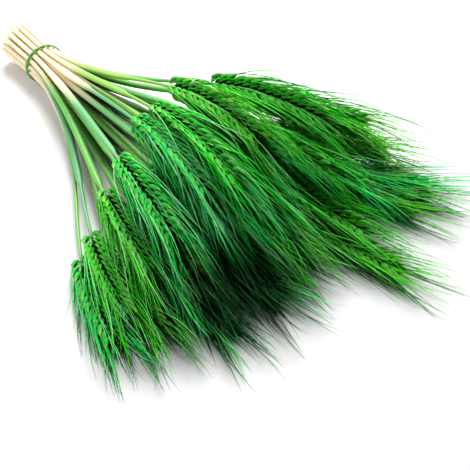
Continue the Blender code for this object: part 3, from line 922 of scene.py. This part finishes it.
def white_floor(settings):
    """Matt white studio paper, with a barely seen tooth."""
    material, tree, shader = new_material("white_paper", 0.9, 1.45)
    tooth = add_node(tree, "ShaderNodeTexNoise", {"Vector": object_place(tree),
                                                  "Scale": 900.0}).outputs["Fac"]
    shade = [TOOTH_SHADE*channel for channel in settings.floor]
    tree.links.new(blended(tree, tooth, shade, settings.floor), shader.inputs["Base Color"])
    return material


# The pieces

def make_stalk(bunch, i, scene, materials):
    """One stalk in one mesh: its straw, its husks and its awns."""
    draw = np.random.default_rng(SEED+100+i)
    surface = Surface()
    rings, skin = straw_rings(bunch, i, scene.triticale_straw, draw)
    surface.add(rings, skin, STRAW_KIND, draw.random(1))
    add_husks(surface, bunch, i, scene.triticale_ear, draw)
    return surface.make("fine_stalk_%02d" % (i+1), materials, draw.random())


def squarish(wave):
    """A sine or cosine with steeper flanks, which makes a circle into a rounded square."""
    return np.sign(wave)*np.abs(wave)**BAND_SQUARE


def band_rings(settings):
    """The elastic: a squarish section carried round the stems, a circle that dips a little between them."""
    turn = np.linspace(0, 2*np.pi, BAND_STEPS, endpoint=False)
    section = 2*np.pi*np.arange(BAND_SECTION)/BAND_SECTION
    middle = TIE_R+BAND_CLEAR+BAND_THICK/2-BAND_DIP*(1-np.cos(turn*CIRCLES[-1]))
    thick = BAND_THICK/2*squarish(np.cos(section))
    across = settings.wide/2*squarish(np.sin(section))
    radius = middle[:, None]+thick[None]
    drift = BAND_DRIFT*np.sin(turn)[:, None]
    points = np.stack([across[None]+drift, radius*np.sin(turn)[:, None],
                       TIE_Z+radius*np.cos(turn)[:, None]], -1)
    skin = np.stack([np.broadcast_to(across[None], radius.shape), radius,
                     np.broadcast_to(turn[:, None]*TIE_R, radius.shape)], -1)
    return points, skin


def make_band(settings, material):
    """A ring of quads round the section and round the turn, with no ends."""
    points, skin = band_rings(settings)
    i = np.arange(BAND_SECTION)
    j = np.arange(BAND_STEPS)[:, None]
    right = (i+1) % BAND_SECTION
    ahead = (j+1) % BAND_STEPS
    quads = np.stack([j*BAND_SECTION+i, j*BAND_SECTION+right, ahead*BAND_SECTION+right,
                      ahead*BAND_SECTION+i], -1).reshape(-1, 4)
    mesh = bpy.data.meshes.new("fine_elastic_band")
    mesh.from_pydata(points.reshape(-1, 3), [], quads)
    mesh.polygons.foreach_set("use_smooth", np.ones(len(quads), bool))
    mesh.materials.append(material)
    place = mesh.attributes.new("skin", "FLOAT_VECTOR", "POINT")
    place.data.foreach_set("vector", skin.astype(np.float32).ravel())
    made = bpy.data.objects.new("fine_elastic_band", mesh)
    bpy.context.scene.collection.objects.link(made)
    return made


def make_floor(settings):
    """A square floor under the bunch, which isn't part of it."""
    half = settings.floor_side/2
    mesh = bpy.data.meshes.new("studio_floor")
    mesh.from_pydata([(-half, -half, 0), (half, -half, 0), (half, half, 0), (-half, half, 0)], [],
                     [(0, 1, 2, 3)])
    mesh.materials.append(white_floor(settings))
    floor = bpy.data.objects.new("studio_floor", mesh)
    bpy.context.scene.collection.objects.link(floor)


def make_camera():
    """The camera where the tie and the ears fall on their pixels of the 470 pixel frame."""
    up_angle = math.radians(ELEVATION)
    round_angle = math.radians(AZIMUTH)
    ahead = Vector((-math.cos(round_angle)*math.cos(up_angle), math.sin(round_angle)*math.cos(up_angle),
                    -math.sin(up_angle)))
    right = Vector((math.sin(round_angle), math.cos(round_angle), 0))
    up = right.cross(ahead)
    across = (TIE_PIXEL[0]-FRAME_PIXELS/2)/FOCAL_PIXELS*TIE_DEPTH
    above = -(TIE_PIXEL[1]-FRAME_PIXELS/2)/FOCAL_PIXELS*TIE_DEPTH
    place = Vector(TIE_MIDDLE)-ahead*TIE_DEPTH-right*across-up*above
    data = bpy.data.cameras.new("camera")
    data.sensor_width = SENSOR_MM
    data.lens = FOCAL_PIXELS/FRAME_PIXELS*SENSOR_MM
    camera = bpy.data.objects.new("camera", data)
    turn = Matrix((right, up, -ahead)).transposed().to_4x4()
    camera.matrix_world = Matrix.Translation(place) @ turn
    bpy.context.scene.collection.objects.link(camera)
    bpy.context.scene.camera = camera


def make_light(name, place, aim, side, power):
    """A square softbox at place that faces aim."""
    data = bpy.data.lights.new(name, "AREA")
    data.shape = "SQUARE"
    data.size = side
    data.energy = power
    lamp = bpy.data.objects.new(name, data)
    away = (Vector(place)-Vector(aim)).to_track_quat("Z", "Y")
    lamp.matrix_world = Matrix.Translation(place) @ away.to_matrix().to_4x4()
    bpy.context.scene.collection.objects.link(lamp)


def make_world(strength):
    """An even white all round, which fills the shadows."""
    world = bpy.data.worlds.new("studio_white")
    world.use_nodes = True
    shader = world.node_tree.nodes["Background"]
    shader.inputs["Color"].default_value = (1, 1, 1, 1)
    shader.inputs["Strength"].default_value = strength
    bpy.context.scene.world = world


# Operators

class TRITICALE_OT_stalks(bpy.types.Operator):
    """Build the thirty-four stalks with their straw, husks and awns"""
    bl_idname = "triticale.stalks"
    bl_label = "Stalks"

    def execute(self, context):
        scene = context.scene
        bunch = lay_out()
        materials = [dried_straw(scene.triticale_straw), dyed_husk(scene.triticale_ear),
                     dyed_awn(scene.triticale_ear)]
        for i in range(len(bunch["ring"])):
            stalk = make_stalk(bunch, i, scene, materials)
            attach(stalk, BODY)
            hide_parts("stalk_%02d" % (i+1))
        return {"FINISHED"}


class TRITICALE_OT_band(bpy.types.Operator):
    """Build the elastic band round the straws"""
    bl_idname = "triticale.band"
    bl_label = "Elastic band"

    def execute(self, context):
        settings = context.scene.triticale_band
        band = make_band(settings, green_elastic(settings))
        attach(band, BODY)
        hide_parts("elastic_band")
        return {"FINISHED"}


class TRITICALE_OT_stage(bpy.types.Operator):
    """Set up the white floor, the soft studio light and the camera"""
    bl_idname = "triticale.stage"
    bl_label = "Stage"

    def execute(self, context):
        make_floor(context.scene.triticale_stage)
        make_camera()
        for softbox in SOFTBOXES:
            make_light(*softbox)
        make_world(WHITE_AROUND)
        context.scene.view_settings.view_transform = "Standard"
        return {"FINISHED"}


class TRITICALE_PT_panel(bpy.types.Panel):
    """The bunch's settings and the buttons that build it"""
    bl_idname = "TRITICALE_PT_panel"
    bl_label = "Dried triticale bunch"
    bl_space_type = "VIEW_3D"
    bl_region_type = "UI"
    bl_category = "Triticale"

    def draw(self, context):
        for group, operator in GROUPS:
            settings = getattr(context.scene, group)
            column = self.layout.column(align=True)
            for name in settings.__annotations__:
                column.prop(settings, name)
            if operator:
                column.operator(operator)


GROUPS = (("triticale_straw", ""), ("triticale_ear", "triticale.stalks"),
          ("triticale_band", "triticale.band"), ("triticale_stage", "triticale.stage"))
SETTINGS = (TriticaleStrawSettings, TriticaleEarSettings, TriticaleBandSettings, TriticaleStageSettings)
CLASSES = (*SETTINGS, TRITICALE_OT_stalks, TRITICALE_OT_band, TRITICALE_OT_stage, TRITICALE_PT_panel)


def register():
    for kind in CLASSES:
        bpy.utils.register_class(kind)
    for (group, _), kind in zip(GROUPS, SETTINGS):
        setattr(bpy.types.Scene, group, PointerProperty(type=kind))


def unregister():
    for group, _ in GROUPS:
        delattr(bpy.types.Scene, group)
    for kind in reversed(CLASSES):
        bpy.utils.unregister_class(kind)


def main():
    register()
    bpy.ops.triticale.stalks()
    bpy.ops.triticale.band()
    bpy.ops.triticale.stage()


if __name__ == "__main__":
    main()
